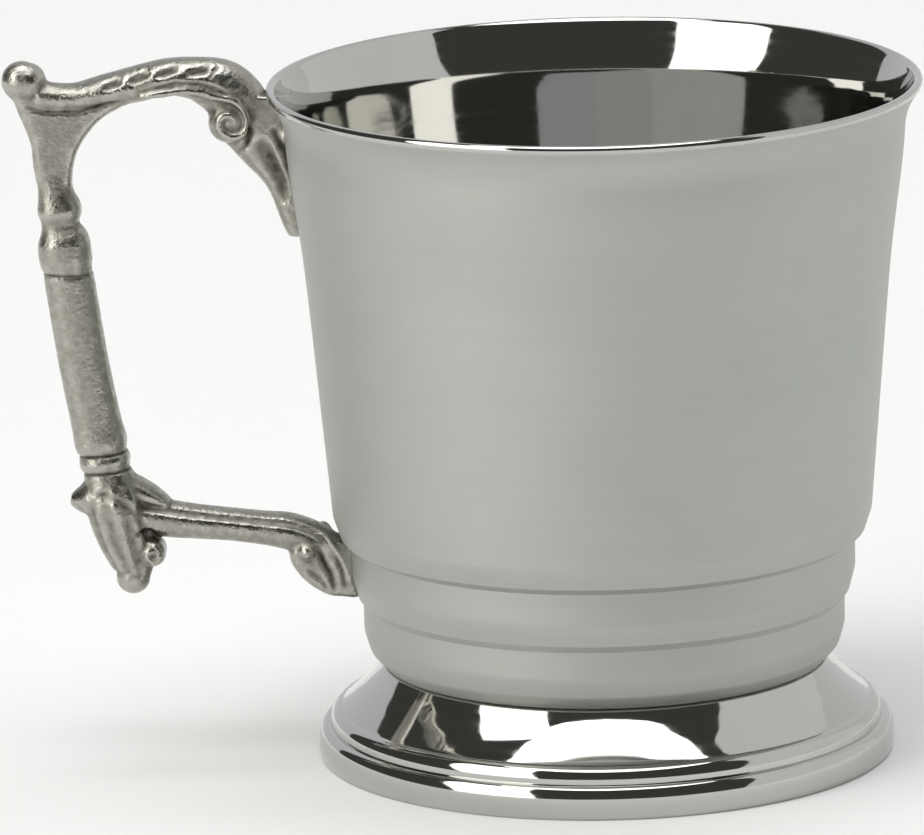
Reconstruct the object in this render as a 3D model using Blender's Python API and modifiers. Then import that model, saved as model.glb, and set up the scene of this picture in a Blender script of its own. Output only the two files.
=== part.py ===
"""Christening tankard: a spun cup with a flared rim and two bands, a spun foot, and a cast scroll handle.

The handle lies in the plane y = 0, on the -X side of the cup. Units are metres, +Z is up, the foot stands on
z = 0, and the origin is under the middle of the whole tankard.
"""

import math

import bmesh
import bpy
from mathutils import Matrix, Vector

MM = 0.001

# Cup
RIM_RADIUS = 41.8 * MM
WALL_TOP_RADIUS = 38.9 * MM
WALL_LOW_RADIUS = 34.65 * MM
WALL_HEIGHT = 49.1 * MM
FLARE_HEIGHT = 5.9 * MM
FLARE_POWER = 2.4
WALL = 1.2 * MM
SHOULDER_HEIGHT = 2.7 * MM
SHOULDER_DRAW = 0.9 * MM
SHOULDER_FILLET = 1.8 * MM
STEP_HEIGHT = 0.9 * MM
UPPER_STEP = 1.35 * MM
UPPER_BAND_HEIGHT = 7.0 * MM
LOWER_STEP = 0.7 * MM
LOWER_BAND_HEIGHT = 6.2 * MM
BAND_DRAW = 0.75 * MM
BAND_STRAIGHT = 0.6
BAND_FILLET = 3.0 * MM
TUCK_HEIGHT = 1.7 * MM
TUCK_WIDTH = 1.6 * MM
TUCK_FILLET = 1.2 * MM
FLOOR_FILLET = 2.0 * MM

# Foot
FOOT_RADIUS = 37.1 * MM
FOOT_HEIGHT = 12.1 * MM
FOOT_WALL = 1.3 * MM
NECK_COVE = 2.2 * MM
SEAT_WIDTH = 2.6 * MM
CONE_RADIUS = 35.1 * MM
CONE_LOW = 6.3 * MM
EDGE_HEIGHT = 4.9 * MM
EDGE_FILLET = 2.2 * MM
FOOT_TUCK = 0.4 * MM

# Handle: the casting's own size; its pose and carving are shares of its reach, its rise and its grip
HANDLE_REACH = 35.8 * MM
GRIP_RADIUS = 3.3 * MM
SCROLL_DROP = 3.1 * MM
PLATE_DROP = 2.9 * MM
ARM_GROOVES = 5
GROOVE_DEPTH = 0.45 * MM
GROOVE_SLANT = 0.8
GROOVE_LOW = 0.3
GROOVED_FROM = 0.20
GROOVED_SHARE = 0.52
BEAD_ANGLE = 54
BEAD_WIDTH = 12
BUD_FLUTES = 10
FLUTE_DEPTH = 0.45 * MM
ROLL_RIM = 0.35
EYE_SHARES = ((0.0, 0.30), (0.6, 0.10), (1.0, -0.35))
THUMB = (0.934, 1.088, 0.79)
LEAF_ROOT = -0.02
LEAF_HOLLOW = 2.6
LEAF_SHARES = (0.0, 0.07, 0.30, 0.62, 0.86, 1.0)
LEAF_NOSE = (0.25, 0.85, 1.0, 1.0, 1.0, 1.0)

# Fits and fineness
GAP = 0.3 * MM
STEPS = 44
ARC_STEP = math.radians(45)
FLARE_STEPS = 4
SIDES = 14
CALYX_SIDES = 12
ARM_SIDES = 18
LOW_ARM_SIDES = 20
FLUTE_SIDES = 3
BALL_SEGMENTS = 12
BALL_RINGS = 8
ROLL_STEPS = 16
OUTLINE_STEPS = 2
LONGEST_FILLET = 0.45

# Radii and heights that follow from the sizes above
SHOULDER_RADIUS = WALL_LOW_RADIUS - SHOULDER_DRAW
UPPER_BAND_RADIUS = SHOULDER_RADIUS - UPPER_STEP
LOWER_BAND_RADIUS = UPPER_BAND_RADIUS - BAND_DRAW - LOWER_STEP
NECK_RADIUS = LOWER_BAND_RADIUS - BAND_DRAW - TUCK_WIDTH
FLOOR = FOOT_HEIGHT + GAP
LOWER_BAND_TOP = FLOOR + TUCK_HEIGHT + LOWER_BAND_HEIGHT
UPPER_BAND_TOP = LOWER_BAND_TOP + STEP_HEIGHT + UPPER_BAND_HEIGHT
SHOULDER_LOW = UPPER_BAND_TOP + STEP_HEIGHT
WALL_LOW = SHOULDER_LOW + SHOULDER_HEIGHT
WALL_TOP = WALL_LOW + WALL_HEIGHT
FLARE_TOP = WALL_TOP + FLARE_HEIGHT
HANDLE_LOW = UPPER_BAND_TOP - SCROLL_DROP
HANDLE_TOP = FLARE_TOP - PLATE_DROP


def pewter(name, colour, roughness):
    """One finish of the metal."""
    material = bpy.data.materials.new(name)
    material.use_nodes = True
    shader = material.node_tree.nodes["Principled BSDF"]
    shader.inputs["Base Color"].default_value = (*colour, 1.0)
    shader.inputs["Metallic"].default_value = 1.0
    shader.inputs["Roughness"].default_value = roughness
    return material


def rounded(corners):
    """The points of a profile of (r, z, fillet) corners, with each fillet as an arc limited by its sides."""
    points = []
    for index, (r, z, fillet) in enumerate(corners):
        corner = Vector((r, z))
        if fillet == 0 or index in (0, len(corners) - 1):
            points.append(corner)
            continue
        back = Vector(corners[index - 1][:2]) - corner
        ahead = Vector(corners[index + 1][:2]) - corner
        half = back.angle(ahead) / 2
        run = min(fillet / math.tan(half), back.length * LONGEST_FILLET, ahead.length * LONGEST_FILLET)
        start = corner + back.normalized() * run
        radius = run * math.tan(half)
        centre = corner + (back.normalized() + ahead.normalized()).normalized() * radius / math.sin(half)
        turn = (start - centre).angle_signed(corner + ahead.normalized() * run - centre)
        count = max(1, round(abs(turn) / ARC_STEP))
        for step in range(count + 1):
            points.append(centre + Matrix.Rotation(-turn * step / count, 2) @ (start - centre))
    return points


def offset(corners, distance):
    """The same run of corners, moved to its inner side by distance, with fillets to match."""
    moved = []
    for index, (r, z, fillet) in enumerate(corners):
        here = Vector((r, z))
        back = Vector(corners[max(index - 1, 0)][:2])
        ahead = Vector(corners[min(index + 1, len(corners) - 1)][:2])
        arrive = (here - back if index else ahead - here).normalized()
        leave = (ahead - here if index < len(corners) - 1 else here - back).normalized()
        inward = (Vector((arrive.y, -arrive.x)) + Vector((leave.y, -leave.x))).normalized()
        reach = distance / inward.dot(Vector((leave.y, -leave.x)))
        turn = arrive.x * leave.y - arrive.y * leave.x
        radius = fillet + math.copysign(distance, turn) if fillet else 0
        moved.append((*(here + inward * reach), max(radius, 0)))
    return moved


def turned(name, points, steps=STEPS):
    """A solid of revolution about its own Z from (r, z) points that run down its outer side."""
    mesh = bpy.data.meshes.new(name)
    closed = points[0].x > 0 and points[-1].x > 0
    count = len(points)
    edges = [(i, (i + 1) % count) for i in range(count if closed else count - 1)]
    mesh.from_pydata([(point.x, 0, point.y) for point in points], edges, [])
    obj = bpy.data.objects.new(name, mesh)
    screw = obj.modifiers.new("turn", "SCREW")
    screw.steps = screw.render_steps = steps
    screw.use_merge_vertices = True
    screw.merge_threshold = 0.00001
    screw.use_smooth_shade = True
    return obj


def flare(height):
    """The radius of the wall's outer face at this height, on its straight taper or in the flare."""
    share = (height - WALL_LOW) / WALL_HEIGHT
    straight = WALL_LOW_RADIUS + (WALL_TOP_RADIUS - WALL_LOW_RADIUS) * share
    if height <= WALL_TOP:
        return straight
    rim_share = (height - WALL_TOP) / FLARE_HEIGHT
    taper = (WALL_TOP_RADIUS - WALL_LOW_RADIUS) / WALL_HEIGHT * FLARE_HEIGHT
    return straight + (RIM_RADIUS - WALL_TOP_RADIUS - taper) * rim_share**FLARE_POWER


def cup_outside():
    """The cup's outer profile from the lip down to the edge of its bottom, as (r, z, fillet) corners."""
    corners = []
    for step in range(FLARE_STEPS + 1):
        height = FLARE_TOP - FLARE_HEIGHT * step / FLARE_STEPS
        corners.append((flare(height), height, 0))
    corners.append((WALL_LOW_RADIUS, WALL_LOW, SHOULDER_FILLET))
    corners.append((SHOULDER_RADIUS, SHOULDER_LOW, 0))
    bands = ((UPPER_BAND_RADIUS, UPPER_BAND_TOP, UPPER_BAND_HEIGHT),
             (LOWER_BAND_RADIUS, LOWER_BAND_TOP, LOWER_BAND_HEIGHT))
    for radius, top, height in bands:
        corners.append((radius, top, 0))
        corners.append((radius, top - height * BAND_STRAIGHT, BAND_FILLET))
        corners.append((radius - BAND_DRAW, top - height, 0))
    corners[-1] = (LOWER_BAND_RADIUS - BAND_DRAW, FLOOR + TUCK_HEIGHT, TUCK_FILLET)
    corners.append((NECK_RADIUS, FLOOR, 0))
    return corners


def cup_profile():
    """The cup's outer profile, the same profile a wall's thickness inside it, and a rounded lip."""
    outside = cup_outside()
    inside = offset(outside, WALL)
    floor = FLOOR + WALL
    inner = [corner for corner in inside if corner[1] > floor + FLOOR_FILLET]
    inner.append((inner[-1][0] - WALL, floor, FLOOR_FILLET))
    inner.append((0, floor, 0))
    lip = Vector(outside[0][:2])
    lip_inside = Vector(inside[0][:2])
    out_of_lip = (lip - Vector(outside[1][:2])).normalized() * WALL / 2
    middle = (lip + lip_inside) / 2
    crown = [middle + out_of_lip * math.sin(angle) + (lip_inside - middle) * math.cos(angle)
             for angle in (ARC_STEP * step for step in range(1, round(math.pi / ARC_STEP)))]
    return rounded(inner)[::-1] + crown + rounded(outside) + [Vector((0, FLOOR))]


def make_cup(material):
    """The hollow cup with its rim, its wall and its bands."""
    cup = turned("cup", cup_profile())
    cup.data.materials.append(material)
    return cup


def make_foot(material):
    """The hollow foot: a seat ring under the cup, a coved cone and a rounded edge down to the table."""
    outside = [(NECK_RADIUS - SEAT_WIDTH, FOOT_HEIGHT, 0), (NECK_RADIUS, FOOT_HEIGHT, 0),
               (NECK_RADIUS + NECK_COVE, FOOT_HEIGHT - NECK_COVE, 0), (CONE_RADIUS, CONE_LOW, 0),
               (FOOT_RADIUS, EDGE_HEIGHT, EDGE_FILLET), (FOOT_RADIUS, FOOT_TUCK, 0),
               (FOOT_RADIUS - FOOT_TUCK, 0, 0)]
    inside = offset(outside, FOOT_WALL)
    inside[-1] = (FOOT_RADIUS - FOOT_TUCK - FOOT_WALL, 0, 0)
    inside[0] = (NECK_RADIUS - SEAT_WIDTH, FOOT_HEIGHT - FOOT_WALL, 0)
    foot = turned("foot", rounded(outside) + rounded(inside)[::-1])
    foot.data.materials.append(material)
    return foot


def spot(out, up):
    """A point of the handle's plane, out from the line between its seats and up from the lower one."""
    height = HANDLE_LOW + up * (HANDLE_TOP - HANDLE_LOW)
    line = UPPER_BAND_RADIUS + up * (WALL_TOP_RADIUS - UPPER_BAND_RADIUS)
    return Vector((-(line + out * HANDLE_REACH), 0, height))


def curve_value(before, start, end, after, share):
    """A smooth curve through start and end, led by the points before and after them."""
    square = share * share
    cube = square * share
    return ((-cube + 2 * square - share) * before + (3 * cube - 5 * square + 2) * start
            + (-3 * cube + 4 * square + share) * end + (cube - square) * after) / 2


def smooth_run(stations, between):
    """The stations with more of them on a smooth curve between each two."""
    rows = [(*spot(row[0], row[1]), row[2] * GRIP_RADIUS, row[3] * GRIP_RADIUS) for row in stations]
    run = []
    for index in range(len(rows) - 1):
        before = rows[max(index - 1, 0)]
        after = rows[min(index + 2, len(rows) - 1)]
        for step in range(between):
            run.append([curve_value(*four, step / between)
                        for four in zip(before, rows[index], rows[index + 1], after)])
    run.append(list(rows[-1]))
    return run


def flat_relief(share, angle):
    """No carving."""
    return 0.0


def skinned(name, rings):
    """A closed body of rings of places, each joined to the next and the two ends closed."""
    shape = bmesh.new()
    rows = [[shape.verts.new(place) for place in ring] for ring in rings]
    for low, high in zip(rows, rows[1:]):
        for side in range(len(low)):
            after = (side + 1) % len(low)
            shape.faces.new((low[side], low[after], high[after], high[side]))
    shape.faces.new(rows[0][::-1])
    shape.faces.new(rows[-1])
    bmesh.ops.recalc_face_normals(shape, faces=shape.faces)
    mesh = bpy.data.meshes.new(name)
    shape.to_mesh(mesh)
    shape.free()
    mesh.shade_smooth()
    return bpy.data.objects.new(name, mesh)


def stroke(name, stations, between=1, sides=SIDES, boxy=1.0, relief=flat_relief):
    """A bar along smooth stations of (out, up, half thickness, half depth), closed at both ends."""
    run = smooth_run(stations, between)
    rings = []
    for index, (x, y, z, thick, deep) in enumerate(run):
        ahead = Vector(run[min(index + 1, len(run) - 1)][:3])
        back = Vector(run[max(index - 1, 0)][:3])
        along = (ahead - back).normalized()
        normal = Vector((0, 1, 0)).cross(along)
        ring = []
        for side in range(sides):
            angle = 2 * math.pi * side / sides
            cosine = math.copysign(abs(math.cos(angle)) ** boxy, math.cos(angle))
            sine = math.copysign(abs(math.sin(angle)) ** boxy, math.sin(angle))
            carved = relief(index / (len(run) - 1), angle)
            place = normal * (thick + carved) * cosine + Vector((0, (deep + carved) * sine, 0))
            ring.append(Vector((x, y, z)) + place)
        rings.append(ring)
    return skinned(name, rings)


def ball(name, out, up, radius, deep):
    """A round knob in the handle's plane; radius and half depth are shares of the grip."""
    shape = bmesh.new()
    bmesh.ops.create_uvsphere(shape, u_segments=BALL_SEGMENTS, v_segments=BALL_RINGS, radius=radius * GRIP_RADIUS)
    bmesh.ops.scale(shape, vec=(1, deep / radius, 1), verts=shape.verts)
    mesh = bpy.data.meshes.new(name)
    shape.to_mesh(mesh)
    shape.free()
    mesh.shade_smooth()
    obj = bpy.data.objects.new(name, mesh)
    obj.location = spot(out, up)
    return obj


def volute(name, out, up, radius, deep, eye):
    """A scroll's roll across the handle: a rim, a hollow channel and a domed eye on both faces."""
    radius *= GRIP_RADIUS
    deep *= GRIP_RADIUS
    eye *= GRIP_RADIUS
    rim = radius - (radius - eye) * ROLL_RIM
    face = [(eye * across, deep + eye * rise) for across, rise in EYE_SHARES]
    channel = face[-1][1]
    face += [(rim, channel), ((rim + radius) / 2, deep), (radius, channel)]
    points = [Vector(point) for point in face] + [Vector((r, -z)) for r, z in reversed(face)]
    roll = turned(name, points, steps=ROLL_STEPS)
    roll.location = spot(out, up)
    roll.rotation_euler = (math.pi / 2, 0, 0)
    return roll


def closed_run(corners):
    """A closed smooth curve through these (out, up) corners, as points in the handle's plane."""
    flat = [spot(*corner).xz for corner in corners]
    curve = []
    for index in range(len(flat)):
        four = [flat[(index + shift) % len(flat)] for shift in (-1, 0, 1, 2)]
        for step in range(OUTLINE_STEPS):
            curve.append(Vector([curve_value(*values, step / OUTLINE_STEPS) for values in zip(*four)]))
    return curve


def inset(curve, distance):
    """A closed curve of the plane moved to its inner side."""
    area = sum(a.x * b.y - b.x * a.y for a, b in zip(curve, curve[1:] + curve[:1]))
    side = math.copysign(distance, area)
    moved = []
    for index, point in enumerate(curve):
        along = (curve[(index + 1) % len(curve)] - curve[index - 1]).normalized()
        moved.append(point + Vector((-along.y, along.x)) * side)
    return moved


def panel(name, corners, deep, edge):
    """A flat plate with this outline of (out, up) corners and its edges bevelled on both faces."""
    curve = closed_run(corners)
    deep *= GRIP_RADIUS
    edge *= GRIP_RADIUS
    levels = ((-deep, edge), (edge - deep, 0), (deep - edge, 0), (deep, edge))
    return skinned(name, [[(x, level, z) for x, z in inset(curve, back)] for level, back in levels])


def leaf(name, rows):
    """The leaf that spreads from a thin spine to its flange on the wall, with hollow sides.

    The rows are (up, spine out, half width of the spine, half width at the wall)."""
    rings = []
    for up, spine, narrow, wide in rows:
        tip = spot(spine, up)
        root = spot(LEAF_ROOT, up)
        half = []
        for share, nose in zip(LEAF_SHARES, LEAF_NOSE):
            width = narrow * nose + (wide - narrow) * share**LEAF_HOLLOW
            half.append((tip.x + (root.x - tip.x) * share, width * GRIP_RADIUS))
        rings.append([(x, y, tip.z) for x, y in half] + [(x, -y, tip.z) for x, y in reversed(half)])
    return skinned(name, rings)


def arm_relief(share, angle):
    """Slanted gadroon grooves over both sides of the arm's top, between its two ends."""
    along = (share - GROOVED_FROM) / GROOVED_SHARE
    if not 0 <= along <= 1:
        return 0.0
    shoulder = min(1.0, max(0.0, GROOVE_LOW - math.cos(angle))) * abs(math.sin(angle)) ** 0.5
    wave = math.cos(2 * math.pi * (along * ARM_GROOVES + abs(math.sin(angle)) * GROOVE_SLANT))
    return -GROOVE_DEPTH * shoulder * math.sin(math.pi * along) ** 0.5 * max(0.0, wave)


def bead_relief(share, angle):
    """One long groove on each side of the lower arm, under the bead along its top."""
    side = abs(abs(math.degrees(math.remainder(angle - math.pi, 2 * math.pi))) - BEAD_ANGLE)
    return -GROOVE_DEPTH * max(0.0, 1 - side / BEAD_WIDTH) * math.sin(math.pi * share)


def flute_relief(share, angle):
    """Flutes round the bud that run together towards its ball."""
    return -FLUTE_DEPTH * (0.5 + 0.5 * math.cos(BUD_FLUTES * angle)) * math.sin(math.pi * share) ** 0.5


def handle_pieces():
    """The bars, plates, rolls and knobs that the casting is made up of."""
    arm = [(0.886, 1.056, 0.58, 0.70), (0.762, 1.051, 0.53, 0.79), (0.639, 1.065, 0.61, 0.88),
           (0.534, 1.076, 0.70, 0.91), (0.419, 1.091, 0.71, 0.97), (0.317, 1.087, 0.83, 1.00),
           (0.224, 1.071, 1.00, 1.00), (0.163, 1.039, 0.97, 0.92), (0.131, 1.000, 0.82, 0.75),
           (0.117, 0.958, 0.67, 0.62)]
    yoke = [(0.960, 1.070), (0.966, 1.035), (0.950, 0.997), (0.932, 0.947), (0.934, 0.890), (0.915, 0.840),
            (0.820, 0.840), (0.797, 0.890), (0.761, 0.942), (0.682, 0.997), (0.599, 1.027), (0.540, 1.043),
            (0.530, 1.070), (0.600, 1.080), (0.760, 1.060)]
    grip = [(0.862, 0.925, 0.45, 0.45), (0.866, 0.880, 0.64, 0.62), (0.869, 0.839, 0.70, 0.72),
            (0.865, 0.800, 0.86, 0.88), (0.869, 0.769, 0.73, 0.73), (0.866, 0.738, 0.98, 1.00),
            (0.867, 0.714, 1.03, 1.03), (0.867, 0.686, 1.02, 1.02), (0.867, 0.665, 0.92, 0.92),
            (0.865, 0.640, 0.97, 0.97), (0.857, 0.466, 0.97, 0.97), (0.843, 0.332, 0.98, 0.98),
            (0.836, 0.281, 1.03, 1.03), (0.834, 0.260, 0.94, 0.94), (0.831, 0.240, 1.02, 1.02),
            (0.829, 0.220, 0.92, 0.92), (0.822, 0.186, 1.05, 1.05)]
    bud = [(0.815, 0.195, 1.03, 1.03), (0.811, 0.155, 1.24, 1.24), (0.806, 0.116, 1.24, 1.24),
           (0.798, 0.072, 1.14, 1.11), (0.788, 0.031, 0.98, 0.92), (0.780, -0.002, 0.78, 0.70),
           (0.786, -0.027, 0.55, 0.56)]
    wing = [(0.880, 0.160, 0.95, 0.95), (0.922, 0.155, 0.62, 0.75), (0.955, 0.154, 0.40, 0.45),
            (0.974, 0.155, 0.20, 0.22)]
    arm_low = [(0.777, 0.123, 0.67, 0.79), (0.640, 0.108, 0.73, 0.85), (0.543, 0.100, 0.68, 0.83),
               (0.419, 0.092, 0.64, 0.82), (0.295, 0.082, 0.66, 0.85), (0.220, 0.075, 0.72, 0.89),
               (0.162, 0.065, 0.70, 0.92), (0.120, 0.052, 0.70, 0.93), (0.070, 0.030, 0.70, 0.90)]
    scroll = [(0.165, 0.066), (0.203, 0.050), (0.217, 0.024), (0.206, -0.001), (0.177, -0.028), (0.135, -0.051),
              (0.091, -0.065), (0.053, -0.068), (-0.020, -0.066), (-0.030, 0.000), (-0.010, 0.050), (0.080, 0.064)]
    calyx = [(0.790, 0.205, 0.30, 0.76), (0.735, 0.178, 0.48, 0.82), (0.680, 0.160, 0.40, 0.79),
             (0.627, 0.143, 0.21, 0.61)]
    rows = [(1.050, 0.360, 0.72, 0.76), (1.018, 0.298, 0.80, 0.66), (0.993, 0.280, 0.80, 0.66),
            (0.969, 0.268, 0.78, 0.85), (0.950, 0.249, 0.70, 1.15), (0.931, 0.223, 0.60, 1.32),
            (0.903, 0.190, 0.50, 1.42), (0.856, 0.127, 0.40, 1.36), (0.820, 0.102, 0.36, 1.16),
            (0.782, 0.087, 0.33, 0.92), (0.747, 0.072, 0.30, 0.64), (0.733, 0.060, 0.28, 0.50)]
    return [
        stroke("grip", grip, boxy=0.8),
        panel("yoke", yoke, 0.60, 0.25),
        stroke("top_arm", arm, between=3, sides=ARM_SIDES, relief=arm_relief),
        ball("thumb_ball", *THUMB, THUMB[2]),
        ball("thumb_lobe", 0.914, 1.087, 0.74, 0.80),
        volute("upper_volute", 0.219, 0.992, 0.77, 1.06, 0.33),
        leaf("leaf", rows),
        stroke("bud", bud, sides=BUD_FLUTES * FLUTE_SIDES, relief=flute_relief),
        stroke("wing", wing),
        ball("bud_ball", 0.789, -0.022, 0.67, 0.67),
        volute("small_volute", 0.707, 0.036, 0.55, 0.88, 0.24),
        stroke("calyx", calyx, sides=CALYX_SIDES),
        stroke("lower_arm", arm_low, sides=LOW_ARM_SIDES, relief=bead_relief),
        panel("lower_scroll", scroll, 0.98, 0.30),
        ball("scroll_eye", 0.150, 0.038, 0.43, 1.22),
    ]


def make_handle(joined, cutters, material):
    """One casting: its bars, rolls and knobs joined, then cut to the cup with the gap between pieces."""
    pieces = handle_pieces()
    handle = pieces[0]
    handle.name = "handle"
    for piece in pieces[1:]:
        joined.objects.link(piece)
        as_guide(piece)
    union = handle.modifiers.new("one_casting", "BOOLEAN")
    union.operation = "UNION"
    union.solver = "EXACT"
    union.operand_type = "COLLECTION"
    union.collection = joined
    above_lip = FLARE_TOP + WALL * 2
    near_cup = [Vector((0, above_lip)), Vector((RIM_RADIUS + GAP, above_lip))]
    near_cup += rounded(offset(cup_outside(), -GAP)) + [Vector((0, FLOOR - GAP))]
    clearance = turned("cup_clearance", near_cup)
    cutters.objects.link(clearance)
    as_guide(clearance)
    cut = handle.modifiers.new("cup_clearance", "BOOLEAN")
    cut.operation = "DIFFERENCE"
    cut.solver = "EXACT"
    cut.object = clearance
    handle.data.materials.append(material)
    return handle


def as_guide(obj):
    """Keeps a piece that others are joined or cut with as a wire outside the render."""
    obj.hide_render = True
    obj.display_type = "WIRE"


def collection(name):
    """A new collection in the scene."""
    made = bpy.data.collections.new(name)
    bpy.context.scene.collection.children.link(made)
    return made


def main():
    for obj in list(bpy.data.objects):
        bpy.data.objects.remove(obj)
    tankard = collection("christening_tankard")
    joined = collection("casting_pieces")
    cutters = collection("cutters")
    centre = bpy.data.objects.new("cup_axis", None)
    thumb_end = spot(THUMB[0], THUMB[1]).x - THUMB[2] * GRIP_RADIUS
    rim_end = max(point.x for point in cup_profile())
    centre.location.x = -(thumb_end + rim_end) / 2
    tankard.objects.link(centre)
    satin = pewter("satin_pewter", (0.45, 0.46, 0.43), 0.22)
    polished = pewter("polished_pewter", (0.55, 0.55, 0.52), 0.08)
    cast = pewter("cast_pewter", (0.30, 0.29, 0.25), 0.35)
    for obj in (make_cup(satin), make_foot(polished), make_handle(joined, cutters, cast)):
        tankard.objects.link(obj)
    for obj in list(tankard.objects) + list(joined.objects) + list(cutters.objects):
        if obj != centre:
            obj.parent = centre


main()
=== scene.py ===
"""Looks of the christening tankard: a spun pewter cup and foot, a cast handle, and a pale studio."""

import math

import bmesh
import bpy
import numpy as np
from mathutils import Matrix, Vector


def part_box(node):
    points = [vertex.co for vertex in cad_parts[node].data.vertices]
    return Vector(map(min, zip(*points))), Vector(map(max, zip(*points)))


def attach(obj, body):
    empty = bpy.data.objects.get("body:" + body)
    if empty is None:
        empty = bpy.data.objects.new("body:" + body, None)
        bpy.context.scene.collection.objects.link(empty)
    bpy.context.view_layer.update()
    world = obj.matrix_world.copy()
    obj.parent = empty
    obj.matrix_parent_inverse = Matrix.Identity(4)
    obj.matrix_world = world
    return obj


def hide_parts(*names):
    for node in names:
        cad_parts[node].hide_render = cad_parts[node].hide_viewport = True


MM = 0.001

# Cup, as its solid has it
RIM_RADIUS = 41.8 * MM
WALL_TOP_RADIUS = 38.9 * MM
WALL_LOW_RADIUS = 34.65 * MM
WALL_HEIGHT = 49.1 * MM
FLARE_HEIGHT = 5.9 * MM
FLARE_POWER = 2.4
WALL = 1.2 * MM
SHOULDER_HEIGHT = 2.7 * MM
SHOULDER_DRAW = 0.9 * MM
SHOULDER_FILLET = 1.8 * MM
STEP_HEIGHT = 0.9 * MM
UPPER_STEP = 1.35 * MM
UPPER_BAND_HEIGHT = 7.0 * MM
LOWER_STEP = 0.7 * MM
LOWER_BAND_HEIGHT = 6.2 * MM
BAND_DRAW = 0.75 * MM
BAND_STRAIGHT = 0.6
BAND_FILLET = 3.0 * MM
TUCK_HEIGHT = 1.7 * MM
TUCK_WIDTH = 1.6 * MM
TUCK_FILLET = 1.2 * MM
FLOOR_FILLET = 2.0 * MM

# How the wall eases out into its flare, outside and then further on the inside
EASE_START = 58.0 * MM
EASE_PEAK = 79.6 * MM
EASE = 0.66 * MM
INSIDE_EASE_START = 77.0 * MM
INSIDE_PEAK = 0.8
INSIDE_EASE = 0.35 * MM
SWELL_RISE = 3.0
CROWN = 0.94

# Foot, and the (radius, height) runs in millimetres of its cone, its small roll and the roll it stands on
FOOT_RADIUS = 37.1 * MM
FOOT_HEIGHT = 12.1 * MM
FOOT_WALL = 1.3 * MM
NECK_COVE = 2.2 * MM
SEAT_WIDTH = 2.6 * MM
CONE_RADIUS = 35.1 * MM
CONE_LOW = 6.3 * MM
EDGE_HEIGHT = 4.9 * MM
EDGE_FILLET = 2.2 * MM
FOOT_TUCK = 0.4 * MM
FOOT_RUNS = (((28.60, 12.10), (29.40, 11.00), (30.35, 9.90), (31.40, 8.80), (32.60, 7.70), (33.60, 6.85),
              (34.05, 6.50)),
             ((34.05, 6.50), (34.55, 6.36), (35.00, 6.08), (35.32, 5.68), (35.50, 5.22), (35.57, 4.75),
              (35.60, 4.34)),
             ((35.60, 4.34), (36.10, 4.26), (36.55, 4.02), (36.86, 3.56), (37.02, 2.95), (37.09, 2.25),
              (37.10, 1.60), (37.05, 0.90), (36.92, 0.35), (36.75, 0.00)))

# Handle; its shares are of its reach, of the height between its seats and of the grip's radius
HANDLE_REACH = 35.8 * MM
GRIP_RADIUS = 3.3 * MM
SCROLL_DROP = 3.1 * MM
PLATE_DROP = 2.9 * MM
GADROONS = ((0.650, 1.074, 0.570, 1.094), (0.552, 1.088, 0.467, 1.111), (0.453, 1.101, 0.366, 1.120),
            (0.344, 1.106, 0.250, 1.114))
GROOVE_DEPTH = 0.55 * MM
LEAF_ROOT = -0.02
LEAF_HOLLOW = 3.6
LEAF_NOSE = 1.5
FLANGE = 1.1 * MM
FLANGE_STEEPNESS = 6
ROLL_SQUARENESS = 5
ROLL_TIP = 0.02 * MM
SCROLL_OPENING = 0.6
BEAD_ANGLE = 54
BEAD_WIDTH = 12
BUD_FLUTES = 10
FLUTE_DEPTH = 0.45 * MM
THUMB = (0.934, 1.088, 0.79)

# Fineness of the finished surface
STEPS = 288
FOOT_STEPS = 6
SIDES = 64
BALL_SEGMENTS = 48
BALL_RINGS = 32
ROLL_SIDES = 40
ROLL_RINGS = 12
BEAD_SIDES = 16
SCROLL_STEPS = 10
RING_SPACING = 0.35 * MM
SOFTENING = 3
OUTLINE_STEPS = 6
EDGE_STEPS = 6
LEAF_STEPS = 6
LEAF_SIDES = 40
HOLLOW_SPREAD = 8
CUT_TAPER = 5.0
CUT_SHADE = 0.12
RECESS_GAIN = 2.2
ARC_STEP = math.radians(7)
FLARE_STEPS = 72
CREASE_FILLET = 0.25 * MM
VOXEL = 0.25 * MM
SOLDER_SINK = 0.05 * MM

# Radii and heights that follow
GAP = 0.3 * MM
SHOULDER_RADIUS = WALL_LOW_RADIUS - SHOULDER_DRAW
UPPER_BAND_RADIUS = SHOULDER_RADIUS - UPPER_STEP
LOWER_BAND_RADIUS = UPPER_BAND_RADIUS - BAND_DRAW - LOWER_STEP
NECK_RADIUS = LOWER_BAND_RADIUS - BAND_DRAW - TUCK_WIDTH
FLOOR = FOOT_HEIGHT + GAP
LOWER_BAND_TOP = FLOOR + TUCK_HEIGHT + LOWER_BAND_HEIGHT
UPPER_BAND_TOP = LOWER_BAND_TOP + STEP_HEIGHT + UPPER_BAND_HEIGHT
SHOULDER_LOW = UPPER_BAND_TOP + STEP_HEIGHT
WALL_LOW = SHOULDER_LOW + SHOULDER_HEIGHT
WALL_TOP = WALL_LOW + WALL_HEIGHT
FLARE_TOP = WALL_TOP + FLARE_HEIGHT
HANDLE_LOW = UPPER_BAND_TOP - SCROLL_DROP
HANDLE_TOP = FLARE_TOP - PLATE_DROP

# Finishes
SATIN_COLOUR = (0.51, 0.525, 0.495)
SATIN_SHADE = (0.49, 0.51, 0.48)
POLISHED_COLOUR = (0.54, 0.54, 0.52)
POLISHED_SHADE = (0.52, 0.52, 0.50)
CAST_COLOUR = (0.345, 0.335, 0.293)
CAST_WORN = (0.455, 0.445, 0.405)
# Near-black of the casting's hollows and cuts: antique patina, and also painted shade where shade falls in
# them
CAST_PATINA_AND_SHADE = (0.055, 0.050, 0.040)

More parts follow.
